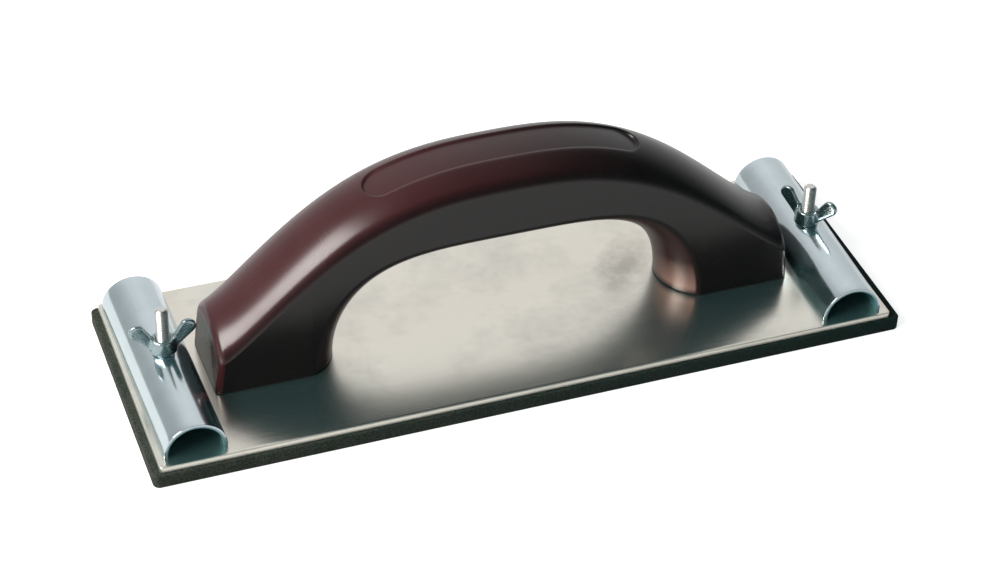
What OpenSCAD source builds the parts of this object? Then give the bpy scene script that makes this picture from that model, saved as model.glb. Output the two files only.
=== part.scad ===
// Hand sander: a foam-soled aluminium plate with an arched handle and two half-round
// clamps that hold the ends of an abrasive sheet under wing nuts.
// X runs along the plate, Y across it and Z up. The origin is the middle of the sole.

/* [Sole] */
// Length of the foam pad
pad_length = 235; // [215:1:300]
// Width of the foam pad
pad_width = 80; // [70:1:120]
// Thickness of the foam pad
pad_thickness = 5; // [4:0.5:12]
// How far the pad stands out past the plate on every side
pad_margin = 1.5; // [0.5:0.1:4]
// Thickness of the aluminium plate
plate_thickness = 1.5; // [1:0.1:3]
// Corner radius of the pad
pad_corner = 2; // [1:0.1:8]
// Corner radius of the plate
plate_corner = 1; // [0.5:0.1:6]

/* [Handle] */
// Width of the handle between its flat sides
handle_width = 27; // [24:0.5:40]
// Height of the sides at the handle's two ends
foot_height = 11.7; // [9:0.1:18]
// Length of each foot along its side
foot_length = 28.3; // [25:0.1:36]
// Height of the finger opening along its side edges
opening_height = 38.7; // [30:0.1:60]
// Height of the sides at the middle of the grip
grip_thickness = 16.4; // [12:0.1:24]
// Height of the rounded crown above the sides
crown_height = 7.8; // [4:0.1:12]
// How far the underside of the grip bulges below its edges
belly_depth = 5.5; // [2:0.1:8]
// How far the inner face of each foot bulges past its edges
heel_bulge = 9.2; // [4:0.1:14]
// Half the angle of the arc by which the grip and the feet bulge across their width
bulge_arc = 68; // [40:1:80]
// How far the handle's ends lean out on their way down to the plate
end_draft = 1.2; // [0:0.1:3]
// Gap between the foot of the handle's end and the clamp beside it
handle_end_gap = 2.5; // [1.5:0.1:8]

/* [Handle screws] */
// Core diameter of the screws that hold the handle
screw_core = 3.2; // [2.5:0.1:4]
// How far the screw's head stands out round its core
screw_head_rim = 2; // [1:0.1:3]
// Height of the screw's head
screw_head_height = 1.9; // [1:0.1:2.5]
// Distance from the handle's end to the nearer screw
screw_end_distance = 8; // [7.5:0.1:9]
// Distance between the two screws of a foot
screw_spacing = 11.5; // [10:0.1:12.5]

/* [Clamps] */
// Outer radius of the half-round clamps
clamp_radius = 9.4; // [8:0.1:13]
// Sheet thickness of the clamps
clamp_wall = 1.2; // [0.8:0.1:2]
// Straight part of the clamp below its half circle
clamp_leg = 0.6; // [0.2:0.1:2]
// Distance from the plate's end to the clamp
clamp_inset = 3.2; // [1:0.1:6]
// Distance from the plate's long edges to the clamp's ends
clamp_end_inset = 2.5; // [1:0.1:8]

/* [Bolts and lock nuts] */
// Outer diameter of the bolt's thread
bolt_diameter = 4; // [3:0.1:5]
// Pitch of the bolt's thread
thread_pitch = 0.7; // [0.5:0.05:1]
// Turns of the wing nut from tight to fully slack
lift_turns = 12; // [4:1:16]
// Thread left above the wing nut when it is fully slack
bolt_tail = 1.3; // [0.5:0.1:6]
// How far the bolt's head stands out round its thread
bolt_head_rim = 2.5; // [1.5:0.1:4]
// Height of the bolt's head
bolt_head_height = 2; // [1:0.1:2.5]
// Thinnest wall of the hexagon lock nut
lock_nut_wall = 1.45; // [1:0.05:2]
// Height of the hexagon lock nut
lock_nut_height = 3.2; // [2:0.1:4]

/* [Wing nuts] */
// Wall of the hub at its foot
hub_base_wall = 1.95; // [1:0.05:3]
// Wall of the hub at its top
hub_top_wall = 1.45; // [0.8:0.05:2.5]
// Height of the hub
hub_height = 4.6; // [3:0.1:7]
// Span over the two wings
wing_span = 19.5; // [18:0.5:23]
// Height of the wings above the hub's foot
wing_height = 10; // [8:0.5:14]
// Thickness of the wings
wing_thickness = 1.9; // [1:0.1:3]
// Radius of the rounded wing tips
wing_tip_radius = 2.2; // [1.5:0.1:4]
// Turn of the left wing nut when it is tight
left_wing_angle = -5; // [-90:1:90]
// Turn of the right wing nut when it is tight
right_wing_angle = -54; // [-90:1:90]

/* [Clearances] */
// Radial play of a nut on the bolt and of a screw in its pilot hole
thread_play = 0.05; // [0.02:0.01:0.1]
// Radial play of bolts and screws in the plate
plate_hole_play = 0.2; // [0.1:0.05:0.5]
// Radial play of the clamp round its bolt
clamp_hole_play = 0.4; // [0.3:0.05:1]
// Room left round each fastener head in the foam
head_play = 0.3; // [0.1:0.1:0.5]
// Gap between the wing nut's flat foot and the round clamp under it
nut_seat_gap = 0.1; // [0.05:0.05:0.3]
// Depth of the pilot hole beyond the screw's tip
pilot_play = 0.8; // [0.3:0.1:1.5]

/* [Hidden] */
$fn = 64;

sides = ["left", "right"];
side_signs = [-1, 1];
wing_angles = [left_wing_angle, right_wing_angle];

// Overrun of a cutting tool past the face that it opens
cut = 1;
// Chamfer at the tip of a bolt and on the rim of a fastener's head
edge_break = 0.5;

plate_length = pad_length - 2 * pad_margin;
plate_width = pad_width - 2 * pad_margin;
plate_top = pad_thickness + plate_thickness;

clamp_x = plate_length / 2 - clamp_inset - clamp_radius;
clamp_length = plate_width - 2 * clamp_end_inset;
clamp_height = clamp_leg + clamp_radius;
clamp_lift = lift_turns * thread_pitch;

nut_foot = plate_top + clamp_height + nut_seat_gap;
nut_bore = bolt_diameter + 2 * thread_play;
bolt_top = nut_foot + hub_height + clamp_lift + bolt_tail;
bolt_head_diameter = bolt_diameter + 2 * bolt_head_rim;
lock_nut_flats = nut_bore + 2 * lock_nut_wall;
hub_base_radius = nut_bore / 2 + hub_base_wall;
hub_top_radius = nut_bore / 2 + hub_top_wall;
wing_tip_x = wing_span / 2 - wing_tip_radius;
wing_tip_z = wing_height - wing_tip_radius;

half_length = clamp_x - clamp_radius - handle_end_gap - end_draft;
half_width = handle_width / 2;
half_opening = half_length - foot_length;
grip_height = opening_height + grip_thickness;

outer_screw_x = half_length - screw_end_distance;
inner_screw_x = outer_screw_x - screw_spacing;
screw_places = [-outer_screw_x, -inner_screw_x, inner_screw_x, outer_screw_x];
screw_head_diameter = screw_core + 2 * screw_head_rim;
screw_tip = plate_top + foot_height - pilot_play;
pilot_bore = screw_core + 2 * thread_play;

// Exponents of the handle's curves: its sides and its ridge along the length, and the crown across it
side_powers = [2.65, 1.35];
ridge_powers = [2.67, 1.42];
crown_powers = [2, 0.7];
// Exponents of the finger opening, at its side edges and at the middle of its width
arch_edge_powers = [4.1, 0.55];
arch_middle_powers = [3.95, 0.5];

// How finely the handle's skin is divided, along half the arch, along a foot and across
arch_steps = 14;
foot_steps = 5;
crown_steps = 14;
belly_steps = 10;

// Share of a curve's height at t: 1 at the middle, falling to 0 at -1 and 1
function falling(t, powers) = pow(max(0, 1 - pow(abs(t), powers[0])), powers[1]);

// Height of the sides' top edge, and of the ridge along the middle of the crown
function side_top(x) =
    plate_top + foot_height + (grip_height - foot_height) * falling(x / half_length, side_powers);
function ridge_top(x) =
    plate_top + foot_height + crown_height
    + (grip_height - foot_height) * falling(x / half_length, ridge_powers);

// Height of the crown, with v running from -1 to 1 across the width
function crown_top(x, v) = side_top(x) + (ridge_top(x) - side_top(x)) * falling(v, crown_powers);

// Share of the bulge at v, along a circular arc: 1 at the middle and 0 at the side edges
function bulge(v) = (cos(asin(v * sin(bulge_arc))) - cos(bulge_arc)) / (1 - cos(bulge_arc));

// Half length, height and exponents of the finger opening at v
function opening_reach(v) = half_opening - heel_bulge * bulge(v);
function opening_rise(v) = opening_height - belly_depth * bulge(v);
function arch_powers(v) = arch_edge_powers + (arch_middle_powers - arch_edge_powers) * bulge(v);

// Underside of the arch at station s, from -1 to 1, which meets the plate upright
function arch_point(s, v) = [
    s * opening_reach(v),
    v * half_width,
    plate_top + opening_rise(v) * falling(s, arch_powers(v))
];

// Flat underside of a foot at station s, from 1 to 2 or from -1 to -2
function foot_point(s, v) = [
    sign(s) * (opening_reach(v) + (abs(s) - 1) * (half_length + end_draft - opening_reach(v))),
    v * half_width,
    plate_top
];

// Place of the crown at station s along the length
function crown_x(s) =
    abs(s) <= 1 ? s * half_opening : sign(s) * (half_opening + (abs(s) - 1) * foot_length);

// Stations from end to end: even in the feet, closer towards the springing of the arch
stations = [
    for (i = [foot_steps : -1 : 1]) -1 - i / foot_steps,
    for (i = [-arch_steps : arch_steps]) sin(90 * i / arch_steps),
    for (i = [1 : foot_steps]) 1 + i / foot_steps
];

// Places across the width: over the crown, closer towards its edges, and back below along the arc
crown_places = [for (i = [0 : crown_steps]) -cos(180 * i / crown_steps)];
belly_places = [
    for (i = [0 : belly_steps]) sin(bulge_arc * (1 - 2 * i / belly_steps)) / sin(bulge_arc)
];

// One ring of the handle's skin
function ring(s) = [
    for (v = crown_places) [crown_x(s), v * half_width, crown_top(crown_x(s), v)],
    for (v = belly_places) abs(s) <= 1 ? arch_point(s, v) : foot_point(s, v)
];

// Flat slab standing on z = 0 with rounded corners
module rounded_slab(length, width, height, radius) {
    linear_extrude(height)
    union() {
        square([length - 2 * radius, width], center = true);
        square([length, width - 2 * radius], center = true);
        for (x = [-1, 1], y = [-1, 1])
            translate([x * (length / 2 - radius), y * (width / 2 - radius)])
                circle(radius);
    }
}

// Hollow in the foam's upper face for a fastener's head
module head_pocket(x, head_diameter, head_height) {
    depth = head_height + head_play;
    translate([x, 0, pad_thickness - depth])
        cylinder(h = depth + cut, d = head_diameter + 2 * head_play);
}

// Foam-rubber pad, cemented under the plate
module sole_pad() {
    color("#23282a")
    difference() {
        rounded_slab(pad_length, pad_width, pad_thickness, pad_corner);
        for (side = side_signs)
            head_pocket(side * clamp_x, bolt_head_diameter, bolt_head_height);
        for (x = screw_places)
            head_pocket(x, screw_head_diameter, screw_head_height);
    }
}

// Clearance hole through the plate
module plate_hole(x, shank) {
    translate([x, 0, pad_thickness - cut])
        cylinder(h = plate_thickness + 2 * cut, d = shank + 2 * plate_hole_play);
}

// Sheet-aluminium plate, punched for two bolts and four screws
module base_plate() {
    color("#d5d2ca")
    difference() {
        translate([0, 0, pad_thickness])
            rounded_slab(plate_length, plate_width, plate_thickness, plate_corner);
        for (side = side_signs)
            plate_hole(side * clamp_x, bolt_diameter);
        for (x = screw_places)
            plate_hole(x, screw_core);
    }
}

// Closed outer skin of the handle, ring by ring from end to end
module handle_skin() {
    count = crown_steps + belly_steps + 2;
    last = (len(stations) - 1) * count;
    left_middle = last + count;
    right_middle = left_middle + 1;
    points = [
        for (s = stations) each ring(s),
        for (side = side_signs) [side * half_length, 0, plate_top + foot_height]
    ];
    walls = [
        for (a = [0 : count : last - 1], j = [0 : count - 1])
            let (k = (j + 1) % count, b = a + count)
            each [[a + j, b + j, b + k], [a + j, b + k, a + k]]
    ];
    ends = [
        for (j = [0 : count - 1])
            let (k = (j + 1) % count)
            each [[left_middle, j, k], [right_middle, last + k, last + j]]
    ];
    polyhedron(points = points, faces = concat(walls, ends), convexity = 6);
}

// Moulded handle: an arch on two flat feet, with two blind pilot holes in each foot
module handle() {
    color("#4a2b2b")
    difference() {
        handle_skin();
        for (x = screw_places)
            translate([x, 0, plate_top - cut])
                cylinder(h = foot_height + cut, d = pilot_bore);
    }
}

// Round head hanging below z = 0, its lower rim chamfered
module fastener_head(diameter, height) {
    translate([0, 0, -height])
        cylinder(h = edge_break, d1 = diameter - 2 * edge_break, d2 = diameter);
    translate([0, 0, edge_break - height])
        cylinder(h = height - edge_break, d = diameter);
}

// Pan-head screw driven up through the plate into the handle
module handle_screw(x) {
    point_length = screw_core;
    color("#b9bcbd")
    translate([x, 0, pad_thickness])
    union() {
        fastener_head(screw_head_diameter, screw_head_height);
        translate([0, 0, -edge_break])
            cylinder(h = screw_tip - pad_thickness - point_length + edge_break, d = screw_core);
        translate([0, 0, screw_tip - pad_thickness - point_length])
            cylinder(h = point_length, d1 = screw_core, d2 = edge_break);
    }
}

// Bolt that stands up from under the plate, through the lock nut, clamp and wing nut
module clamp_bolt(side) {
    color("#c3c6c7")
    translate([side * clamp_x, 0, pad_thickness])
    union() {
        fastener_head(bolt_head_diameter, bolt_head_height);
        translate([0, 0, -edge_break])
            cylinder(h = bolt_top - pad_thickness, d = bolt_diameter);
        translate([0, 0, bolt_top - pad_thickness - edge_break])
            cylinder(h = edge_break, d1 = bolt_diameter, d2 = bolt_diameter - 2 * edge_break);
    }
}

// Hexagon nut that locks the bolt to the plate
module lock_nut(side) {
    color("#b4b8b9")
    translate([side * clamp_x, 0, plate_top])
    difference() {
        cylinder(h = lock_nut_height, r = lock_nut_flats / 2 / cos(30), $fn = 6);
        translate([0, 0, -cut])
            cylinder(h = lock_nut_height + 2 * cut, d = nut_bore);
    }
}

// Half disc on two short straight legs, standing on the X axis
module arch_outline(radius) {
    translate([-radius, 0])
        square([2 * radius, clamp_leg]);
    intersection() {
        translate([0, clamp_leg])
            circle(radius);
        translate([-radius, clamp_leg])
            square([2 * radius, radius]);
    }
}

// Half-round clamp across the end of the plate
module clamp(side) {
    color("#bfc7ca")
    translate([side * clamp_x, 0, plate_top])
    difference() {
        rotate([90, 0, 0])
            linear_extrude(clamp_length, center = true)
            difference() {
                arch_outline(clamp_radius);
                translate([0, -cut])
                    square([2 * (clamp_radius - clamp_wall), 2 * cut], center = true);
                arch_outline(clamp_radius - clamp_wall);
            }
        translate([0, 0, clamp_height / 2])
            cylinder(h = clamp_height, d = bolt_diameter + 2 * clamp_hole_play);
    }
}

// Outline of one wing: a round tip, joined to the whole height of the hub by a strap as wide as the tip
module wing_outline() {
    tip = [wing_tip_x, wing_tip_z];
    foot = [hub_base_radius - edge_break, edge_break];
    shoulder = [hub_top_radius - 2 * edge_break, hub_height];
    lean = tip - (foot + shoulder) / 2;
    across = wing_tip_radius * [-lean[1], lean[0]] / norm(lean);
    translate(tip)
        circle(wing_tip_radius);
    polygon([[0, edge_break], foot, tip - across, tip + across, shoulder, [0, hub_height]]);
}

// Wing nut, seated on the crown of its clamp
module wing_nut(side, angle) {
    color("#aeb4b6")
    translate([side * clamp_x, 0, nut_foot])
    rotate([0, 0, angle])
    difference() {
        union() {
            cylinder(h = hub_height, r1 = hub_base_radius, r2 = hub_top_radius);
            for (turn = [0, 180])
                rotate([90, 0, turn])
                    linear_extrude(wing_thickness, center = true)
                    wing_outline();
        }
        translate([0, 0, -cut])
            cylinder(h = wing_height + 2 * cut, d = nut_bore);
    }
}

sole_pad();
base_plate();
handle();
for (i = [0 : 3])
    handle_screw(screw_places[i]);
for (i = [0, 1]) {
    clamp_bolt(side_signs[i]);
    lock_nut(side_signs[i]);
    clamp(side_signs[i]);
    wing_nut(side_signs[i], wing_angles[i]);
}
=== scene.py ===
import math

import bpy
import numpy as np
from mathutils import Matrix


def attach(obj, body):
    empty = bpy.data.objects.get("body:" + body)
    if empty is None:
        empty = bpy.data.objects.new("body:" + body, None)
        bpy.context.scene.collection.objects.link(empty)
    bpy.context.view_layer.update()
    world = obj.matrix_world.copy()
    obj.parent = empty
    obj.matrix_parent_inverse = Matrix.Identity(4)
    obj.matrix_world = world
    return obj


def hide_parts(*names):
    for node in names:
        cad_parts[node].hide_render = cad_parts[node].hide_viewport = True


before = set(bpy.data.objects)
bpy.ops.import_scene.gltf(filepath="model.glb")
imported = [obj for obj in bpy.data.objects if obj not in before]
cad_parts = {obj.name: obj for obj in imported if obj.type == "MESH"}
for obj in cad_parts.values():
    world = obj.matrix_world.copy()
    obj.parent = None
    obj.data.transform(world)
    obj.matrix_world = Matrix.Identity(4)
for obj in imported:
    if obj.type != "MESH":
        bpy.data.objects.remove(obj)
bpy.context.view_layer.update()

# Base plate: a blank sheared from aluminium sheet and left as it came off the rolls.
# The handle's screws and the clamps' bolts come up through it, and the pad is cemented below.
MM = 0.001


def linear(colour):
    """sRGB hex value to linear RGBA: c / 12.92 up to 0.04045, above that ((c + 0.055) / 1.055)^2.4."""
    c = np.array([int(colour[i:i + 2], 16) for i in (1, 3, 5)]) / 255
    c = np.where(c <= 0.04045, c / 12.92, ((c + 0.055) / 1.055) ** 2.4)
    return (*c.tolist(), 1.0)


def add_node(tree, kind, inputs, **settings):
    """Adds a shader node, applies its settings, and links or sets each input by name or number. A Mix of colours
    has its share on input 0, its two colours on 6 and 7, and its result on output 2."""
    made = tree.nodes.new("ShaderNode" + kind)
    for name, value in settings.items():
        setattr(made, name, value)
    for name, value in inputs.items():
        if isinstance(value, bpy.types.NodeSocket):
            tree.links.new(value, made.inputs[name])
        else:
            made.inputs[name].default_value = value
    return made


def new_material(name):
    """An empty node material and its tree."""
    material = bpy.data.materials.new(name)
    material.use_nodes = True
    material.node_tree.nodes.clear()
    return material, material.node_tree


def build_piece(name, grids, material, body, sharp=45):
    """One mesh from grids of points, each (points, capped). Neighbouring points are joined by quads, the last
    column is joined to the first, and a capped grid gets a flat face on its first and its last row."""
    points, faces, first = [], [], 0
    for grid, capped in grids:
        rows, columns = grid.shape[:2]
        i, j = np.mgrid[0:rows - 1, 0:columns]
        k = (j + 1) % columns
        corners = np.stack([i * columns + j, i * columns + k, (i + 1) * columns + k, (i + 1) * columns + j], -1)
        faces += (first + corners).reshape(-1, 4).tolist()
        if capped:
            faces.append((first + np.arange(columns)[::-1]).tolist())
            faces.append((first + (rows - 1) * columns + np.arange(columns)).tolist())
        points.append(grid.reshape(-1, 3))
        first += rows * columns
    mesh = bpy.data.meshes.new(name)
    mesh.from_pydata((np.concatenate(points) * MM).tolist(), [], faces)
    return finish_piece(mesh, material, body, sharp)


def finish_piece(mesh, material, body, sharp=45):
    """Shades a mesh smooth up to an edge angle, gives it its material, and puts it on its CAD body."""
    mesh.validate()
    mesh.shade_smooth()
    mesh.set_sharp_from_angle(angle=math.radians(sharp))
    mesh.materials.append(material)
    piece = bpy.data.objects.new(mesh.name, mesh)
    bpy.context.scene.collection.objects.link(piece)
    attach(piece, body)
    return piece


def outline_rings(half, corner, inset, height, corner_steps, side_steps):
    """Rounded rectangle drawn in by each inset and set at each height. A corner is a quarter circle of the radius
    that is left there, and a side is the straight line to the next corner, split into equal steps."""
    inset, height = np.asarray(inset, float)[:, None], np.asarray(height, float)[:, None]
    radius = np.maximum(corner - inset, 0.02)
    turn = np.radians(np.linspace(0, 90, corner_steps)[None, :] + 90 * np.arange(4)[:, None])[None]
    sign_x, sign_y = np.array([1, -1, -1, 1])[None, :, None], np.array([1, 1, -1, -1])[None, :, None]
    x = sign_x * (half[0] - inset - radius)[..., None] + radius[..., None] * np.cos(turn)
    y = sign_y * (half[1] - inset - radius)[..., None] + radius[..., None] * np.sin(turn)
    arcs = np.stack([x, y], -1)
    along = (np.arange(1, side_steps) / side_steps)[None, None, :, None]
    starts, ends = arcs[:, :, -1:], np.roll(arcs[:, :, :1], -1, axis=1)
    ring = np.concatenate([arcs, starts + (ends - starts) * along], 2).reshape(len(inset), -1, 2)
    return np.concatenate([ring, np.broadcast_to(height[..., None], ring.shape[:2] + (1,))], -1)


def rounded_edge(radius, low, high, flat, steps=5):
    """Inset and height of a slab's section, from below: the flat, a quarter circle, the wall, a quarter circle and
    the flat above."""
    t = np.radians(np.linspace(0, 90, steps))
    inset = np.r_[radius + flat, radius * (1 - np.sin(t)), radius * (1 - np.cos(t)), radius + flat]
    height = np.r_[low, low + radius * (1 - np.cos(t)), high - radius * (1 - np.sin(t)), high]
    return inset, height


plate_half, plate_corner, plate_edge, plate_low, plate_high = (114.7, 39.0), 1.0, 0.25, 4.5, 6.5
plate_grid = outline_rings(plate_half, plate_corner, *rounded_edge(plate_edge, plate_low, plate_high, 1.0), 6, 1)

# Mill-finish aluminium: a bright satin metal, faintly warm, that mirrors the handle with a soft blur.
# The rolls leave fine lines along the plate, 0.4 mm wide here so that they show. Handling leaves dull patches, a
# dark patch beside the right foot is a painted reflection of the handle's belly, the sheared edge is rough and
# catches light from every side, and a thin oxide film turns the darks a cold green.
mill_aluminium, tree = new_material("mill_finish_aluminium")
place = add_node(tree, "TexCoord", {}).outputs["Object"]
rolled = add_node(tree, "Mapping", {"Vector": place, "Scale": (1 / (30 * MM), 1 / (0.4 * MM), 1 / (0.4 * MM))})
lines = add_node(tree, "TexNoise", {"Vector": rolled.outputs[0], "Scale": 1.0, "Detail": 3.0, "Roughness": 0.6})
stains = add_node(tree, "TexNoise", {"Vector": place, "Scale": 1 / (24 * MM), "Detail": 4.0, "Roughness": 0.65})
dull = add_node(tree, "MapRange", {"Value": stains.outputs[0], "From Min": 0.45, "From Max": 0.8, "To Min": 0.0,
                                   "To Max": 1.0})
tint = add_node(tree, "Mix", {0: dull.outputs[0], 6: linear("#e8e2d7"), 7: linear("#d0ccc3")}, data_type="RGBA")
# Painted reflection: a dark patch for the handle's belly mirrored in the plate beside the right foot, painted into
# the colour.
spot = add_node(tree, "Mapping", {"Vector": place, "Location": (46 * MM, 9 * MM, plate_high * MM),
                                  "Rotation": (0, 0, math.radians(50)), "Scale": (22 * MM, 11 * MM, 22 * MM)},
                vector_type="TEXTURE")
reflection_falloff = add_node(tree, "TexGradient", {"Vector": spot.outputs[0]}, gradient_type="SPHERICAL")
handle_reflection = add_node(tree, "TexNoise", {"Vector": place, "Scale": 1 / (6 * MM), "Detail": 4.0, "Roughness": 0.65})
handle_reflection = add_node(tree, "Math", {0: reflection_falloff.outputs["Fac"], 1: handle_reflection.outputs[0]}, operation="MULTIPLY")
handle_reflection = add_node(tree, "MapRange", {"Value": handle_reflection.outputs[0], "From Min": 0.06, "From Max": 0.45, "To Min": 0.0,
                                    "To Max": 0.55})
tint = add_node(tree, "Mix", {0: handle_reflection.outputs[0], 6: tint.outputs[2], 7: linear("#908a82")}, data_type="RGBA")
gloss = add_node(tree, "MapRange", {"Value": lines.outputs[0], "From Min": 0.3, "From Max": 0.7, "To Min": 0.2,
                                    "To Max": 0.25})
haze = add_node(tree, "Math", {0: dull.outputs[0], 1: 0.04, 2: gloss.outputs[0]}, operation="MULTIPLY_ADD")
sheared = add_node(tree, "Attribute", {}, attribute_name="sheared").outputs["Fac"]
rough = add_node(tree, "Math", {0: sheared, 1: 0.2, 2: haze.outputs[0]}, operation="MULTIPLY_ADD")
relief = add_node(tree, "Bump", {"Height": lines.outputs[0], "Strength": 0.007, "Distance": 0.02 * MM})
metal = add_node(tree, "BsdfPrincipled", {"Base Color": tint.outputs[2], "Metallic": 1.0,
                                          "Roughness": rough.outputs[0], "Normal": relief.outputs[0],
                                          "Sheen Weight": 0.07, "Sheen Roughness": 1.0,
                                          "Sheen Tint": linear("#90e8ea")})
add_node(tree, "OutputMaterial", {"Surface": metal.outputs[0]})

plate_sheet = build_piece("plate_sheet", [(plate_grid, True)], mill_aluminium, "base")
edge_mask = np.zeros(plate_grid.shape[:2], np.float32)
edge_mask[1:-2] = 1
plate_sheet.data.attributes.new("sheared", "FLOAT", "POINT").data.foreach_set("value", edge_mask.ravel())
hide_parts("base_plate")

# Handle: one arched grip moulded in dark red-brown plastic, solid to the foot at each end.
# Four screws from below hold it, and a shallow bare panel runs along the crown of the grip.
handle_half_length, handle_half_width, half_opening = 90.3, 13.5, 62.0
foot_height, opening_height, grip_height, crown_height = 11.7, 38.7, 55.1, 7.8
belly_depth, heel_bulge, bulge_arc, end_draft, handle_edge, foot_edge = 5.5, 9.2, 68.0, 1.2, 2.0, 0.4
crown_half_width, crown_powers, roll_start, roll_drop = 14.1, (2, 0.7), 0.85, 0.8
crease_left, crease_right, ridge_left, ridge_right = (2.77, 1.4), (2.5, 1.3), (2.69, 1.36), (2.66, 1.49)
arch_rim_powers, arch_middle_powers = (4.1, 0.55), (3.95, 0.5)
heel_lift, heel_run, arch_edge, arch_edge_rise, end_lift = 0.45, 0.9, 0.5, 8.0, 0.15
panel_half_length, panel_half_width, panel_depth, panel_step = 42.5, 5.7, 1.25, 1.1
panel_flat, panel_middle = 0.6, -0.8


def falling(t, power, sharpness):
    """Share of a curve's height at t, 1 at the middle and 0 at -1 and 1: (1 - |t|^power)^sharpness."""
    return np.clip(1 - np.abs(t) ** power, 0, None) ** sharpness


def smooth_step(t):
    """Goes from 0 to 1 while t does, level at both ends: 3 t^2 - 2 t^3."""
    t = np.clip(t, 0, 1)
    return t * t * (3 - 2 * t)


def panel_sink(x, y):
    """Share of the panel's depth at a point of the crown: a smooth step across the panel's outline, inside which
    lies every point within half the panel's width of its middle line."""
    out = np.maximum(np.abs(x) - (panel_half_length - panel_half_width), 0)
    off = np.hypot(out, y - panel_middle) - panel_half_width
    return smooth_step((panel_step / 2 - off) / panel_step)


def crown_points(x, v):
    """Upper skin over station x at v = y / crown half width. The crease at the sides and the ridge follow two
    arches, a little fuller on the left, and between them the height falls from the ridge as (1 - v^2)^0.7. The
    outermost part rolls off further along a parabola, and the panel is sunk in and flatter than the crown by
    the share panel_flat."""
    rise, t, y = grip_height - foot_height, x / handle_half_length, v * crown_half_width
    crease = np.where(x < 0, falling(t, *crease_left), falling(t, *crease_right))
    ridge = np.where(x < 0, falling(t, *ridge_left), falling(t, *ridge_right))
    crease = plate_high + foot_height + rise * crease
    ridge = plate_high + foot_height + crown_height + rise * ridge
    roll = np.clip((np.abs(v) - roll_start) / (1 - roll_start), 0, 1) ** 2
    z = crease + (ridge - crease) * falling(v, *crown_powers) - roll_drop * roll
    z = z + (panel_flat * (ridge - z) - panel_depth) * panel_sink(x, y)
    return np.stack(np.broadcast_arrays(x, y, z), -1)


def belly_points(x, v):
    """Lower skin under station x: over the opening an arch that meets the plate upright, lower and shorter towards
    the middle of the width along a circular arc in v, and under a foot the flat that stands on the plate. The
    ends lean out on their way down, and the foot's rim is rounded off upwards along its sides and its heel."""
    flat = np.cos(np.radians(bulge_arc))
    swell = (np.cos(np.arcsin(v * np.sin(np.radians(bulge_arc)))) - flat) / (1 - flat)
    reach = half_opening - heel_bulge * swell
    share = np.clip(np.abs(x) / half_opening, 0, 1)
    beyond = np.clip((np.abs(x) - half_opening) / (handle_half_length - half_opening), 0, 1)
    past = beyond * (handle_half_length + end_draft - reach)
    below = np.sign(x) * (share * reach + past)
    power, sharpness = ((1 - swell) * rim + swell * middle
                        for rim, middle in zip(arch_rim_powers, arch_middle_powers))
    arch = (opening_height - belly_depth * swell) * falling(share, power, sharpness)
    arch = np.maximum(arch, heel_lift * np.clip(1 - past / heel_run, 0, 1) ** 2)
    edge = foot_edge + arch_edge * np.clip(arch / arch_edge_rise, 0, 1)
    rim = np.clip((np.abs(v) * handle_half_width - handle_half_width + edge) / edge, 0, 1)
    lift = edge * (1 - np.sqrt(1 - rim * rim))
    return np.stack(np.broadcast_arrays(below, v * handle_half_width, plate_high + arch + lift), -1)


# Stations run from right to left, so that the faces point outwards, and lie closer where the panel ends and the arch
# turns down. Samples across the handle lie closer towards the crease and the foot's rim.
side_stations = np.r_[np.arange(0, 36, 1.2), np.arange(36, 44, 0.2),
                      half_opening * np.sin(np.radians(np.linspace(45.2, 90, 40))),
                      half_opening + np.array([0.08, 0.2, 0.35, 0.55]),
                      np.arange(half_opening + 1, handle_half_length - handle_edge - 0.3, 1.0)]
end_turn = np.radians(np.linspace(0, 90, 9))
end_stations = handle_half_length - handle_edge * (1 - np.sin(end_turn))
half_stations = np.r_[side_stations, end_stations, handle_half_length]
half_insets = np.r_[0 * side_stations, handle_edge * (1 - np.cos(end_turn)), handle_edge + 0.6]
station = np.r_[half_stations[:0:-1], -half_stations][:, None]
inset = np.r_[half_insets[:0:-1], half_insets][:, None]
half_crown = np.r_[np.arange(0, 6, 0.25), np.arange(6, 11, 0.5), np.arange(11, 13, 0.25), 13.0, 13.12, 13.22,
                   13.31, 13.38, 13.43, 13.465, 13.49, 13.5] / handle_half_width
crown_v = np.r_[-half_crown[:0:-1], half_crown][None]
half_belly = np.r_[np.linspace(0, 64, 22), 65, 66, 66.7, 67.3, 67.7, bulge_arc]
belly_turn = np.radians(np.r_[half_belly[:0:-1], -half_belly])
belly_v = (np.sin(belly_turn) / np.sin(np.radians(bulge_arc)))[None]
crown = crown_points(station, crown_v) - np.stack(np.broadcast_arrays(0, inset * crown_v, inset), -1)
belly = belly_points(station, belly_v) + np.stack(np.broadcast_arrays(0, -inset * belly_v, end_lift * inset), -1)
down = np.r_[0.008, np.arange(1, 9) / 9, 0.99][None, :, None]
near_side = crown[:, :1] + (belly[:, -1:] - crown[:, :1]) * down[:, ::-1]
far_side = crown[:, -1:] + (belly[:, :1] - crown[:, -1:]) * down
handle_grid = np.concatenate([crown, far_side, belly, near_side], 1)

# Gloss-moulded ABS: a dark red-brown that carries broad soft highlights. Light and shade are painted into its
# colour:
# the flat sides are a near-black painted shaded copy and the crown a lighter painted lit copy, with painted shade
# along the crease and towards the right end, and the inside of the right foot is paler still as a painted highlight.
# The bare panel and the belly were spark-eroded matt.
moulded_plastic, tree = new_material("gloss_moulded_abs")
place = add_node(tree, "TexCoord", {}).outputs["Object"]
matt = add_node(tree, "Attribute", {}, attribute_name="matt").outputs["Fac"]
painted_light = add_node(tree, "Attribute", {}, attribute_name="painted_light_share").outputs["Fac"]
cloud = add_node(tree, "TexNoise", {"Vector": place, "Scale": 1 / (14 * MM), "Detail": 3.0, "Roughness": 0.5})
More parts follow.
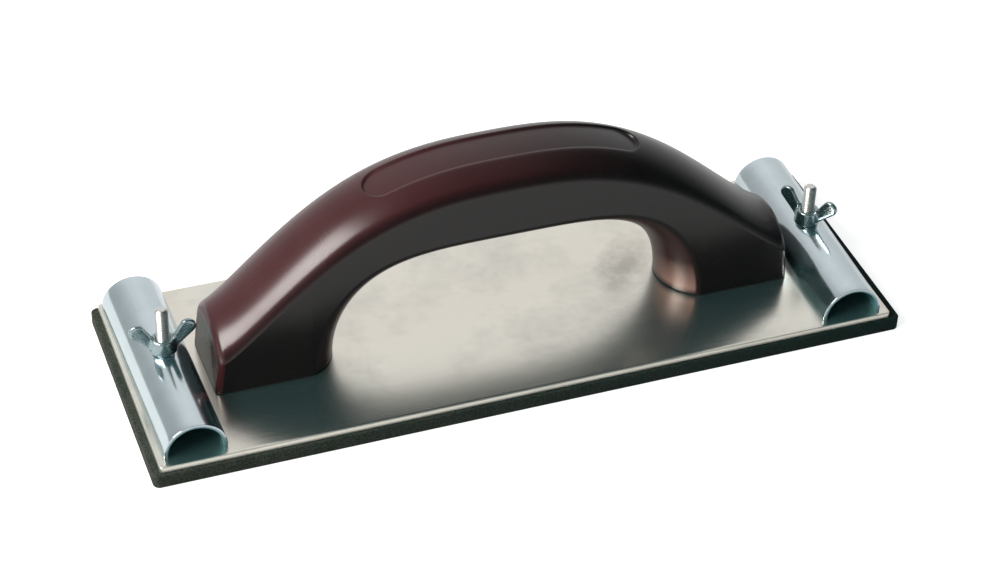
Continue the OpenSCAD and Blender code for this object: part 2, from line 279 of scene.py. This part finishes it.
# Painted light and shade: the near-black is a painted shaded copy of the red-brown on the next line, and the painted
# light share picks between them.
skin = add_node(tree, "Mix", {0: cloud.outputs[0], 6: linear("#0e0909"), 7: linear("#120c0c")}, data_type="RGBA")
brown = add_node(tree, "Mix", {0: cloud.outputs[0], 6: linear("#3a1a1c"), 7: linear("#432123")}, data_type="RGBA")
shade = add_node(tree, "Mix", {0: painted_light, 6: skin.outputs[2], 7: brown.outputs[2]}, data_type="RGBA")
# Painted highlight: the heel is painted a pale pinkish brown where the softbox, mirrored in the plate, shines on the
# right foot's inner face.
heel = add_node(tree, "Attribute", {}, attribute_name="heel").outputs["Fac"]
shade = add_node(tree, "Mix", {0: heel, 6: shade.outputs[2], 7: linear("#8c6e64")}, data_type="RGBA")
polish = add_node(tree, "MapRange", {"Value": cloud.outputs[0], "From Min": 0.3, "From Max": 0.7, "To Min": 0.24,
                                     "To Max": 0.28})
finish = add_node(tree, "Math", {0: matt, 1: 0.06, 2: polish.outputs[0]}, operation="MULTIPLY_ADD")
plastic = add_node(tree, "BsdfPrincipled", {"Base Color": shade.outputs[2], "Roughness": finish.outputs[0],
                                            "IOR": 1.45})
add_node(tree, "OutputMaterial", {"Surface": plastic.outputs[0]})

handle_moulding = build_piece("handle_moulding", [(handle_grid, True)], moulded_plastic, "base",
                              60)
# The painted light fades towards the right and keeps a quarter along the crease, under half in the belly and least
# near the plate, and most at the left end's rim. The heel is a painted highlight on the right foot's inner face,
# palest a little above the plate and towards the front.
shade_from, shade_to, rim_v = -45.0, 50.0, 0.95
lit_share = 1 - smooth_step((station - shade_from) / (shade_to - shade_from))
under = slice(crown_v.size + down.size, -down.size)
matt_mask = np.zeros(handle_grid.shape[:2], np.float32)
matt_mask[:, :crown_v.size] = panel_sink(station, crown_v * crown_half_width)
matt_mask[:, under] = 1
painted_light_mask = np.zeros(handle_grid.shape[:2], np.float32)
# Painted light on the crown, giving way to painted shade towards the right end and along the crease.
painted_light_mask[:, :crown_v.size] = lit_share * (1 - 0.75 * np.clip((np.abs(crown_v) - 0.86) / 0.1, 0, 1))
rise = belly[..., 2] - plate_high
# Painted shade in the belly, darkest next to the plate.
painted_light_mask[:, under] = 0.45 * np.clip((rise - 0.5) / 4, 0, 1)
painted_light_mask[(inset[:, 0] > 0) & (station[:, 0] < 0)] = 0.8
painted_light_mask[inset[:, 0] > handle_edge] = 0
painted_light_mask[:, under] *= np.abs(belly_v) < rim_v
heel_highlight_mask = np.zeros(handle_grid.shape[:2], np.float32)
# Painted highlight on the right foot's inner face, towards the front and a little above the plate.
heel_highlight_mask[:, under] = np.clip((station - 40) / 10, 0, 1) * np.clip((rise - 0.5) / 2, 0, 1)
heel_highlight_mask[:, under] *= np.clip((13 - rise) / 10, 0, 1) * np.clip(0.4 - belly_v, 0, 1) * (belly_v > -rim_v)
for layer, mask in (("matt", matt_mask), ("painted_light_share", painted_light_mask), ("heel", heel_highlight_mask)):
    handle_moulding.data.attributes.new(layer, "FLOAT", "POINT").data.foreach_set("value", mask.ravel())
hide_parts("handle")

# Handle screws: four steel pan-head screws, driven up through the plate into the feet before the pad is
# cemented on. They keep their CAD shape, because plate, pad and handle hide them.
# Bright drawn steel: cool grey metal with fine turning lines, 0.15 mm apart.
bright_steel, tree = new_material("bright_drawn_steel")
place = add_node(tree, "TexCoord", {}).outputs["Object"]
turned = add_node(tree, "Mapping", {"Vector": place, "Scale": (1 / (2 * MM), 1 / (2 * MM), 1 / (0.15 * MM))})
lines = add_node(tree, "TexNoise", {"Vector": turned.outputs[0], "Scale": 1.0, "Detail": 2.0, "Roughness": 0.6})
tint = add_node(tree, "Mix", {0: lines.outputs[0], 6: linear("#cfd0cd"), 7: linear("#e2e2de")}, data_type="RGBA")
gloss = add_node(tree, "MapRange", {"Value": lines.outputs[0], "From Min": 0.3, "From Max": 0.7, "To Min": 0.26,
                                    "To Max": 0.38})
metal = add_node(tree, "BsdfPrincipled", {"Base Color": tint.outputs[2], "Metallic": 1.0,
                                          "Roughness": gloss.outputs[0]})
add_node(tree, "OutputMaterial", {"Surface": metal.outputs[0]})

for number in (1, 2, 3, 4):
    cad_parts[f"handle_screw_{number}"].material_slots[0].material = bright_steel

# Clamp bolts: two M4 pan-head bolts that stand up through the plate, one at each end, with a rolled thread.
# A lock nut on the plate holds each of them upright.
clamp_x, bolt_radius, bolt_low, bolt_highs = 103.4, 2.0, 3.0, {"left": 31.7, "right": 29.9}
thread_pitch, thread_depth, bolt_chamfer, head_radius, head_round = 0.7, 0.36, 0.7, 4.5, 0.8


def bolt_points(centre_x, bolt_high):
    """Rings up the bolt. The head is a rounded disc, and the shank's radius falls from the crest by the thread's
    depth times a blunt triangle wave of (height / pitch - angle / turn), and by a 45 degree chamfer at the tip."""
    angle = np.linspace(0, 2 * np.pi, 48, endpoint=False)[None]
    head_turn, tip_radius = np.radians(np.linspace(0, 90, 6)), bolt_radius - bolt_chamfer
    head = np.r_[3.0, head_radius - head_round * (1 - np.sin(head_turn)), head_radius, head_radius, 2.6, bolt_radius,
                 bolt_radius]
    head_level = np.r_[bolt_low, bolt_low + head_round * (1 - np.cos(head_turn)), plate_low - 0.2, plate_low,
                       plate_low, plate_low, plate_high - 0.4]
    height = np.arange(plate_high, bolt_high, thread_pitch / 10)[:, None]
    wave = np.abs(2 * ((height / thread_pitch - angle / (2 * np.pi)) % 1) - 1)
    shank = bolt_radius - thread_depth * np.clip(1.3 * wave - 0.2, 0, 1)
    tip = bolt_radius - np.maximum(height - (bolt_high - bolt_chamfer), 0)
    shank = np.minimum(shank, tip)
    top = np.array([[tip_radius - 0.02], [tip_radius - 0.25]])
    radius = np.concatenate([head[:, None] + 0 * angle, shank, top + 0 * angle])
    level = np.r_[head_level, height.ravel(), bolt_high - 0.01, bolt_high][:, None]
    return np.stack(np.broadcast_arrays(centre_x + radius * np.cos(angle), radius * np.sin(angle), level), -1)


sides = (("left", -1), ("right", 1))
for side, sign in sides:
    bolt = build_piece(f"{side}_bolt_thread", [(bolt_points(sign * clamp_x, bolt_highs[side]), True)], bright_steel,
                       "base", 60)
    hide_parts(f"{side}_bolt")

# Lock nuts: M4 hexagon nuts, 7 mm across the flats, turned down on the bolts until they grip the plate.
# Cold-formed steel, with the corners of both faces turned off to a cone.
nut_flats, nut_height, nut_bore, nut_sink, nut_sink_depth = 7.0, 3.2, 2.05, 2.45, 0.4


def lock_nut_points(centre_x):
    """Ring-shaped section carried round the bolt: the wall is the smaller of the hexagon's radius,
    half the flats / cos(angle from the middle of a flat), and a 30 degree cone from each face's rim."""
    angle = np.linspace(0, 2 * np.pi, 96, endpoint=False)[None]
    flat = (angle + np.pi / 6) % (np.pi / 3) - np.pi / 6
    hexagon = nut_flats / 2 / np.cos(flat)
    height = np.r_[0, np.linspace(0.02, 0.5, 6), np.linspace(0.8, nut_height - 0.8, 5),
                   np.linspace(nut_height - 0.5, nut_height - 0.02, 6), nut_height][:, None]
    from_face = np.minimum(height, nut_height - height)
    wall = np.minimum(hexagon, nut_flats / 2 - 0.1 + from_face / np.tan(np.radians(30)))
    bore = np.array([nut_sink, nut_bore, nut_bore, nut_sink])[:, None]
    radius = np.concatenate([wall, bore + 0 * angle, wall[:1]])
    level = plate_high + np.r_[height.ravel(), nut_height, nut_height - nut_sink_depth, nut_sink_depth, 0.0,
                               0.0][:, None]
    return np.stack(np.broadcast_arrays(centre_x + radius * np.cos(angle), radius * np.sin(angle), level), -1)


for side, sign in sides:
    nut = build_piece(f"{side}_lock_nut_hexagon", [(lock_nut_points(sign * clamp_x), False)], bright_steel, "base",
                      30)
    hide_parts(f"{side}_lock_nut")

# Sole pad: a sheet of firm foam rubber, about 5 mm thick and knife-cut a little larger than the plate all round.
# Contact cement holds it under the plate, so only its cut edge and a narrow rim show from above.
pad_half, pad_low, pad_corner, pad_edge, pad_shift = (117.5, 40.0), 0.0, 2.0, 0.4, (0.5, 0.0, 0.0)
pad_inset, pad_height = rounded_edge(pad_edge, pad_low, plate_low, 1.2)
pad_grid = outline_rings(pad_half, pad_corner, pad_inset, pad_height, 8, 60)
# The knife wanders a few hundredths of a millimetre on its way round and leaves the cut face a little hollow.
knife_wander, cut_hollow = 0.0012, 0.0006
pad_run = np.arange(pad_grid.shape[1])
knife = 0.05 * (np.sin(pad_run * 0.71) + np.sin(pad_run * 0.293 + 1.0) - 2)
waist = np.sin(np.clip(pad_height / plate_low, 0, 1) * np.pi)
pad_grid[..., :2] *= 1 + (knife_wander * knife[None, :, None] - cut_hollow * waist[:, None, None])
pad_grid = pad_grid + pad_shift

# Closed-cell foam rubber: matt and almost black with a green cast, full of cut cells about 0.6 mm across
# that catch the light as a fine speckle. It is painted lighter and greyer at the left end, which faces the softbox,
# and darker towards the right, as painted light and shade.
foam_rubber, tree = new_material("closed_cell_foam_rubber")
place = add_node(tree, "TexCoord", {}).outputs["Object"]
cells = add_node(tree, "TexVoronoi", {"Vector": place, "Scale": 1 / (0.6 * MM)}, feature="F1")
patch = add_node(tree, "TexNoise", {"Vector": place, "Scale": 1 / (6 * MM), "Detail": 4.0, "Roughness": 0.6})
# Painted light and shade: the lit left end and the shaded right end, blended along the pad's length.
lit_left_end = add_node(tree, "Mix", {0: patch.outputs[0], 6: linear("#24302b"), 7: linear("#4a4d43")}, data_type="RGBA")
shaded_right_end = add_node(tree, "Mix", {0: patch.outputs[0], 6: linear("#061d1a"), 7: linear("#0b2a26")}, data_type="RGBA")
run = add_node(tree, "SeparateXYZ", {0: place}).outputs["X"]
run = add_node(tree, "MapRange", {"Value": run, "From Min": -pad_half[0] * MM, "From Max": pad_half[0] * MM})
shade = add_node(tree, "Mix", {0: run.outputs[0], 6: lit_left_end.outputs[2], 7: shaded_right_end.outputs[2]}, data_type="RGBA")
open_cell = add_node(tree, "MapRange", {"Value": cells.outputs["Distance"], "From Min": 0.0, "From Max": 0.7,
                                        "To Min": 0.0, "To Max": 1.0})
wall = add_node(tree, "Mix", {0: open_cell.outputs[0], 6: linear("#0d1413"), 7: shade.outputs[2]}, data_type="RGBA")
relief = add_node(tree, "Bump", {"Height": cells.outputs["Distance"], "Strength": 0.6, "Distance": 0.25 * MM})
rubber = add_node(tree, "BsdfPrincipled", {"Base Color": wall.outputs[2], "Roughness": 0.85, "IOR": 1.5,
                                           "Specular IOR Level": 0.15, "Normal": relief.outputs[0]})
add_node(tree, "OutputMaterial", {"Surface": rubber.outputs[0]})

foam_sole = build_piece("foam_sole", [(pad_grid, True)], foam_rubber, "base")
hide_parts("sole_pad")

# Clamps: half-round channels pressed from 1.2 mm steel strip and zinc plated, one across each end.
# A hole in the crown drops over the bolt, and the two long edges grip the abrasive strip on the plate.
clamp_middle, clamp_half_wall, clamp_leg, clamp_half_length = 8.8, 0.6, 0.6, 36.0
clamp_rim, clamp_hole, arc_step, hole_steps, patch_steps = 0.14, 2.85, 3.0, 4, 10


def clamp_mesh(name, centre_x, shove, slide, swivel):
    """Closed sheet over rows along Y and columns round the section. The section's middle line is a leg, a half
    circle and a leg, the two skins lie half a wall to either side, and the rims round off over a quarter circle.
    Round the bolt the grid's square rings are drawn in to circles, from the hole's edge to patch_steps out. The
    whole is shoved along X and Y and turned about the bolt, as far as the play of the hole lets it."""
    leg = np.array([0.0, 0.05, 0.12, 0.2, 0.32])
    arc = np.radians(np.arange(90, -91, -arc_step))
    path_x = np.r_[0 * leg - clamp_middle, -clamp_middle * np.sin(arc), 0 * leg + clamp_middle]
    normal_x = np.r_[0 * leg - 1, -np.sin(arc), 0 * leg + 1]
    normal_z = np.r_[0 * leg, np.cos(arc), 0 * leg]
    path_z = np.r_[leg, clamp_leg + clamp_middle * np.cos(arc), leg[::-1]]
    foot = np.r_[leg, 0 * arc + 1, leg[::-1]]
    rounded = clamp_rim - np.sqrt(np.clip(clamp_rim ** 2 - np.clip(clamp_rim - foot, 0, None) ** 2, 0, None))
    turn = np.radians(np.linspace(0, 90, 6))
    cell = (clamp_middle + clamp_half_wall) * np.radians(arc_step)
    step = np.arange(-patch_steps, patch_steps + 1)
    middle = cell * step
    long_run = np.linspace(clamp_half_length - clamp_rim, middle[-1], 12)[:-1]
    end_y = clamp_half_length - clamp_rim * (1 - np.cos(turn))
    y = np.r_[-end_y[:-1], -long_run, middle, long_run[::-1], end_y[-2::-1]][:, None]
    drawn_in = clamp_rim * (1 - np.sin(turn))
    inset = np.r_[drawn_in[:-1], 0 * long_run, 0 * middle, 0 * long_run, drawn_in[-2::-1]][:, None]
    half = clamp_half_wall - rounded - inset
    base = np.where(foot < 1, inset * (1 - foot / clamp_leg), 0) + path_z
    skins = []
    for sign in (1, -1):
        x, z = path_x + sign * half * normal_x, base + sign * half * normal_z
        skins.append(np.stack(np.broadcast_arrays(x, y, z), -1))
    rows, columns = skins[0].shape[:2]
    row, column = rows // 2, columns // 2
    di, dj = np.meshgrid(step, step, indexing="ij")
    ring = np.maximum(np.abs(di), np.abs(dj))
    wide = np.abs(dj) >= np.abs(di)
    slope = np.where(wide, di / np.where(dj == 0, 1, dj), dj / np.where(di == 0, 1, di))
    angle = np.where(wide, np.pi / 4 * slope + np.pi * (dj < 0), np.pi / 2 - np.pi / 4 * slope + np.pi * (di < 0))
    share = np.clip((ring - hole_steps) / (patch_steps - hole_steps), 0, 1)
    for skin, sign in zip(skins, (1, -1)):
        radius = clamp_middle + sign * clamp_half_wall
        round_u = radius * np.arcsin(clamp_hole * np.cos(angle) / radius)
        u = (1 - share) * round_u + share * radius * np.radians(arc_step) * dj
        v = (1 - share) * clamp_hole * np.sin(angle) + share * cell * di
        patch = np.stack([radius * np.sin(u / radius), v, clamp_leg + radius * np.cos(u / radius)], -1)
        skin[row + step[0]:row + step[-1] + 1, column + step[0]:column + step[-1] + 1] = patch
    number = np.arange(2 * rows * columns).reshape(2, rows, columns)
    i, j = np.mgrid[0:rows - 1, 0:columns - 1]
    kept = (np.abs(i + 0.5 - row) > hole_steps) | (np.abs(j + 0.5 - column) > hole_steps)
    i, j = i[kept], j[kept]
    outer, inner = number
    faces = [np.stack([outer[i, j], outer[i, j + 1], outer[i + 1, j + 1], outer[i + 1, j]], -1),
             np.stack([inner[i, j], inner[i + 1, j], inner[i + 1, j + 1], inner[i, j + 1]], -1)]
    for edge in (0, columns - 1):
        strip = np.stack([outer[:-1, edge], outer[1:, edge], inner[1:, edge], inner[:-1, edge]], -1)
        faces.append(strip if edge == 0 else strip[:, ::-1])
    for end in (0, rows - 1):
        strip = np.stack([outer[end, :-1], inner[end, :-1], inner[end, 1:], outer[end, 1:]], -1)
        faces.append(strip if end == 0 else strip[:, ::-1])
    brim = np.flatnonzero(ring.ravel() == hole_steps)
    brim = brim[np.argsort(angle.ravel()[brim] % (2 * np.pi))]
    brim_i, brim_j = row + step[brim // step.size], column + step[brim % step.size]
    lip, throat = outer[brim_i, brim_j], inner[brim_i, brim_j]
    faces.append(np.stack([lip, np.roll(lip, -1), np.roll(throat, -1), throat], -1))
    faces = np.concatenate(faces)
    used, faces = np.unique(faces, return_inverse=True)
    x, y, z = np.stack(skins).reshape(-1, 3)[used].T
    c, s = math.cos(math.radians(swivel)), math.sin(math.radians(swivel))
    points = np.stack([centre_x + shove + c * x - s * (y + slide), s * x + c * (y + slide), z + plate_high], -1)
    mesh = bpy.data.meshes.new(name)
    mesh.from_pydata((points * MM).tolist(), [], faces.reshape(-1, 4).tolist())
    inside = (used >= rows * columns).astype(np.float32)
    mesh.attributes.new("inside", "FLOAT", "POINT").data.foreach_set("value", inside)
    return mesh


# Bright zinc plate on steel: a cool pale metal that mirrors its surroundings almost sharply.
# The strip's rolling lines run along the channel, 0.5 mm wide here so that they show, the blue passivation leaves
# faint clouds a few millimetres across and a cold film over the darks, and inside the channel it is dull and painted
# a dark cold teal, which is painted shade.
bright_zinc, tree = new_material("bright_zinc_plate")
place = add_node(tree, "TexCoord", {}).outputs["Object"]
drawn = add_node(tree, "Mapping", {"Vector": place, "Scale": (1 / (0.5 * MM), 1 / (30 * MM), 1 / (0.5 * MM))})
lines = add_node(tree, "TexNoise", {"Vector": drawn.outputs[0], "Scale": 1.0, "Detail": 3.0, "Roughness": 0.6})
clouds = add_node(tree, "TexNoise", {"Vector": place, "Scale": 1 / (7 * MM), "Detail": 4.0, "Roughness": 0.6})
tint = add_node(tree, "Mix", {0: clouds.outputs[0], 6: linear("#c2ced3"), 7: linear("#d7dfe4")}, data_type="RGBA")
gloss = add_node(tree, "MapRange", {"Value": clouds.outputs[0], "From Min": 0.3, "From Max": 0.7, "To Min": 0.12,
                                    "To Max": 0.19})
inside = add_node(tree, "Attribute", {}, attribute_name="inside").outputs["Fac"]
# Painted shade: the inside skin is painted a dark cold teal.
tint = add_node(tree, "Mix", {0: inside, 6: tint.outputs[2], 7: linear("#4c7a82")}, data_type="RGBA")
rough = add_node(tree, "Math", {0: inside, 1: 0.3, 2: gloss.outputs[0]}, operation="MULTIPLY_ADD")
plated = add_node(tree, "MapRange", {"Value": inside, "To Min": 1.0, "To Max": 0.2})
relief = add_node(tree, "Bump", {"Height": lines.outputs[0], "Strength": 0.05, "Distance": 0.02 * MM})
metal = add_node(tree, "BsdfPrincipled", {"Base Color": tint.outputs[2], "Metallic": plated.outputs[0],
                                          "Roughness": rough.outputs[0], "Normal": relief.outputs[0],
                                          "Sheen Weight": 0.05, "Sheen Roughness": 1.0,
                                          "Sheen Tint": linear("#90e8ea")})
add_node(tree, "OutputMaterial", {"Surface": metal.outputs[0]})

for side, sign, shove, slide, swivel in (("left", -1, -0.5, 0.6, 0.96), ("right", 1, 0.2, -0.6, -1.61)):
    clamp = finish_piece(clamp_mesh(f"{side}_clamp_channel", sign * clamp_x, shove, slide, swivel), bright_zinc,
                         f"{side}_clamp", 60)
    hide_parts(f"{side}_clamp")

# Wing nuts: cast in one piece, a conical hub with two rounded ears, tapped M4 and zinc plated like the clamps.
# Each screws down its bolt onto the crown of its clamp, and stands at the angle where it came tight.
nut_foot, hub_height, hub_low, hub_high, hub_sink, hub_sink_depth = 16.6, 4.6, 4.0, 3.5, 2.5, 0.45
ear_root, ear_tip, ear_radius, ear_half = np.array([3.0, 2.55]), np.array([7.45, 7.7]), 2.4, 0.85
ear_under, ear_over, ear_bend = ((2.3, 0.45), (3.7, 0.8)), ((2.3, 4.2), (2.9, 4.9)), 0.2
ear_fillet, ear_fillet_run, ear_squareness = 0.8, 0.07, 0.55


def hub_points():
    """Ring-shaped section turned about the bolt: a cone with rounded rims outside and a countersunk bore inside."""
    turn = np.radians(np.linspace(0, 90, 6))
    lower, upper = 0.35, 0.6
    radius = np.r_[hub_low - lower + lower * np.sin(turn), hub_high - upper + upper * np.cos(turn), hub_sink,
                   nut_bore, nut_bore, hub_sink, hub_low - lower]
    height = np.r_[lower * (1 - np.cos(turn)), hub_height - upper + upper * np.sin(turn), hub_height,
                   hub_height - hub_sink_depth, hub_sink_depth, 0.0, 0.0]
    angle = np.linspace(0, 2 * np.pi, 72, endpoint=False)[:, None]
    ring = np.stack(np.broadcast_arrays(radius * np.cos(angle), radius * np.sin(angle), height), -1)
    return ring.transpose(1, 0, 2)


def ear_points():
    """Flattened superellipse carried from inside the hub out to the tip. Its lower and upper edges run straight
    from the hub's whole height to the tip, which closes as a half circle, and it thickens into the hub as castings
    do."""
    lean = (ear_tip - ear_root) / np.hypot(*(ear_tip - ear_root))
    across = ear_radius * np.array([-lean[1], lean[0]])
    s = np.linspace(0, 1, 26)[:, None]
    turn = np.radians(np.linspace(4, 89.4, 20))[:, None]
    lower, upper = (np.concatenate([np.interp(s, (0, ear_bend, 1), run) for run in zip(*inner, end)], 1)
                    for inner, end in ((ear_under, ear_tip - across), (ear_over, ear_tip + across)))
    middle = np.concatenate([(lower + upper) / 2, ear_tip + ear_radius * np.sin(turn) * lean])
    half = np.concatenate([(upper - lower) / 2, np.cos(turn) * across])
    thick = ear_half + ear_fillet * np.exp(-np.clip(s - ear_bend, 0, None) / ear_fillet_run)
    thick = np.concatenate([thick, ear_half * np.sqrt(1 - np.sin(turn) ** 5)])
    angle = np.linspace(0, 2 * np.pi, 40, endpoint=False)
    up = (np.sign(np.sin(angle)) * np.abs(np.sin(angle)) ** ear_squareness)[None, :, None]
    out = np.sign(np.cos(angle)) * np.abs(np.cos(angle)) ** ear_squareness
    x, z = np.moveaxis(middle[:, None] + up * half[:, None], -1, 0)
    return np.stack(np.broadcast_arrays(x, thick * out, z), -1)


def stood(grid, sign, angle):
    """Turns a grid about the bolt by the nut's angle and sets it on its clamp."""
    c, s = math.cos(math.radians(angle)), math.sin(math.radians(angle))
    x, y, z = np.moveaxis(grid, -1, 0)
    return np.stack([sign * clamp_x + c * x - s * y, s * x + c * y, z + nut_foot], -1)


# Zinc-plated casting: the clamps' cool metal, darker and duller, with the faint 0.8 mm ripple of a cast skin under
# the plating.
cast_zinc, tree = new_material("zinc_plated_casting")
place = add_node(tree, "TexCoord", {}).outputs["Object"]
ripple = add_node(tree, "TexNoise", {"Vector": place, "Scale": 1 / (0.8 * MM), "Detail": 2.0, "Roughness": 0.5})
tint = add_node(tree, "Mix", {0: ripple.outputs[0], 6: linear("#8f9da1"), 7: linear("#a9b5b8")}, data_type="RGBA")
gloss = add_node(tree, "MapRange", {"Value": ripple.outputs[0], "From Min": 0.3, "From Max": 0.7, "To Min": 0.2,
                                    "To Max": 0.3})
relief = add_node(tree, "Bump", {"Height": ripple.outputs[0], "Strength": 0.1, "Distance": 0.05 * MM})
metal = add_node(tree, "BsdfPrincipled", {"Base Color": tint.outputs[2], "Metallic": 1.0,
                                          "Roughness": gloss.outputs[0], "Normal": relief.outputs[0],
                                          "Sheen Weight": 0.08, "Sheen Roughness": 1.0,
                                          "Sheen Tint": linear("#90e8ea")})
add_node(tree, "OutputMaterial", {"Surface": metal.outputs[0]})

for side, sign, angle in (("left", -1, -5), ("right", 1, -54)):
    wing_grids = [(stood(hub_points(), sign, angle), False), (stood(ear_points(), sign, angle), True),
                  (stood(ear_points(), sign, angle + 180), True)]
    wing_nut = build_piece(f"{side}_wing_nut_casting", wing_grids, cast_zinc, f"{side}_wing_nut", 60)
    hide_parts(f"{side}_wing_nut")

# Studio: a white floor inside a cloth tent that is bright behind the tool and dark to its right and front,
# one softbox to the left, and the camera in front of the left end, looking down at the crown.
scene = bpy.context.scene
floor_radius, tent_radius = 2.4, 2.6
floor_turn = np.linspace(0, 2 * np.pi, 64, endpoint=False)
floor_mesh = bpy.data.meshes.new("studio_floor")
floor_points = np.stack([floor_radius * np.cos(floor_turn), floor_radius * np.sin(floor_turn),
                         0 * floor_turn - 0.1 * MM], -1)
floor_mesh.from_pydata(floor_points.tolist(), [], [list(range(floor_turn.size))])
floor = bpy.data.objects.new("studio_floor", floor_mesh)
scene.collection.objects.link(floor)

# White paper: pale and matt. What the camera and the metal see of it is lifted to white, and the shadow stays.
mirrored_lift, camera_lift = 0.22, 0.5
white_paper, tree = new_material("white_paper")
rays = add_node(tree, "LightPath", {})
seen = add_node(tree, "Math", {0: rays.outputs["Is Camera Ray"], 1: rays.outputs["Is Glossy Ray"]},
                operation="MAXIMUM")
seen = add_node(tree, "Math", {0: seen.outputs[0], 1: rays.outputs["Is Transmission Ray"]}, operation="MAXIMUM")
lift = add_node(tree, "Math", {0: seen.outputs[0], 1: mirrored_lift}, operation="MULTIPLY")
lift = add_node(tree, "Math", {0: rays.outputs["Is Camera Ray"], 1: camera_lift, 2: lift.outputs[0]},
                operation="MULTIPLY_ADD")
paper = add_node(tree, "BsdfPrincipled", {"Base Color": linear("#d8d8d8"), "Roughness": 0.9,
                                          "Specular IOR Level": 0.1, "Emission Color": linear("#ffffff"),
                                          "Emission Strength": lift.outputs[0]})
add_node(tree, "OutputMaterial", {"Surface": paper.outputs[0]})
floor_mesh.materials.append(white_paper)

# The tent's brightness round the compass (0 in front of the tool, 90 to its right, 180 behind) and up the dome.
# Where it is dark it has the cold cast of an unlit room, which is what the metals show in their shadows.
compass = np.array([0, 45, 88, 102, 118, 140, 165, 190, 222, 250, 300, 330, 360])
cloth = np.array([0.05, 0.02, 0.03, 0.22, 0.58, 0.8, 0.9, 0.82, 0.47, 0.42, 0.28, 0.12, 0.05])
cloth_top, top_from, dusk_below, dusk_colour = 0.3, 45, 0.5, (0.008, 0.05, 0.056)
around, upward = 145, 46
azimuth, elevation = np.meshgrid(np.linspace(0, 360, around), np.linspace(0, 90, upward))
over = np.clip((elevation - top_from) / (90 - top_from), 0, 1)
glow = np.interp(azimuth, compass, cloth) * (1 - over) + cloth_top * over
a, e = np.radians(azimuth), np.radians(elevation)
dome = tent_radius * np.stack([np.cos(e) * np.sin(a), -np.cos(e) * np.cos(a), np.sin(e)], -1)
i, j = np.mgrid[0:upward - 1, 0:around - 1]
corner = i * around + j
dome_faces = np.stack([corner, corner + around, corner + around + 1, corner + 1], -1).reshape(-1, 4)
tent_mesh = bpy.data.meshes.new("studio_tent")
tent_mesh.from_pydata(dome.reshape(-1, 3).tolist(), [], dome_faces.tolist())
dusk = np.clip(1 - glow / dusk_below, 0, 1)[..., None] * dusk_colour
glow = np.concatenate([glow[..., None] + dusk, np.ones(glow.shape + (1,))], -1).astype(np.float32)
tent_mesh.attributes.new("glow", "FLOAT_COLOR", "POINT").data.foreach_set("color", glow.ravel())
tent = bpy.data.objects.new("studio_tent", tent_mesh)
tent.visible_camera = False
scene.collection.objects.link(tent)

lit_cloth, tree = new_material("lit_tent_cloth")
cloth_glow = add_node(tree, "Attribute", {}, attribute_name="glow").outputs["Color"]
cloth_light = add_node(tree, "Emission", {"Color": cloth_glow, "Strength": 1.0})
add_node(tree, "OutputMaterial", {"Surface": cloth_light.outputs[0]})
tent_mesh.materials.append(lit_cloth)


def aimed(position, target, roll=0.0):
    """Rotation that looks from position to target along -Z, turned by roll degrees about that line."""
    forward = np.array(target) - np.array(position)
    forward = forward / np.linalg.norm(forward)
    level = np.cross(forward, (0, 0, 1))
    level = level / np.linalg.norm(level)
    upright = np.cross(level, forward)
    c, s = math.cos(math.radians(roll)), math.sin(math.radians(roll))
    right, up = c * level + s * upright, c * upright - s * level
    return np.stack([right, up, -forward], 1)


def put(name, data, position, target, roll=0.0):
    """Links a lamp or camera, placed and aimed."""
    made = bpy.data.objects.new(name, data)
    matrix = np.eye(4)
    matrix[:3, :3], matrix[:3, 3] = aimed(position, target, roll), position
    made.matrix_world = Matrix(matrix.tolist())
    scene.collection.objects.link(made)
    return made


softbox = bpy.data.lights.new("softbox_left", "AREA")
softbox.shape, softbox.size, softbox.size_y = "RECTANGLE", 0.7, 0.56
softbox.energy, softbox.color = 21.0, (1.0, 0.975, 0.945)
softbox_azimuth, softbox_elevation, softbox_distance = math.radians(-76), math.radians(39), 1.2
softbox_target = np.array([-0.06, 0.0, 0.04])
towards = np.array([math.sin(softbox_azimuth), -math.cos(softbox_azimuth), math.tan(softbox_elevation)])
softbox_place = softbox_target + softbox_distance * math.cos(softbox_elevation) * towards
put("softbox_left", softbox, softbox_place, softbox_target)

world = bpy.data.worlds.new("white_surround")
world.use_nodes = True
tree = world.node_tree
tree.nodes.clear()
surround = add_node(tree, "Background", {"Color": linear("#ffffff"), "Strength": 1.0})
add_node(tree, "OutputWorld", {"Surface": surround.outputs[0]})
scene.world = world

lens = bpy.data.cameras.new("camera")
lens.sensor_fit, lens.sensor_width, lens.lens = "HORIZONTAL", 36.0, 93.893
lens.clip_start, lens.clip_end = 0.05, 20.0
eye = np.array([-0.223682, -0.579225, 0.505239])
scene.camera = put("camera", lens, eye, eye + (0.283623, 0.730839, -0.620831), 2.12468)
scene.view_settings.view_transform = "Standard"
scene.cycles.max_bounces, scene.cycles.glossy_bounces = 16, 12
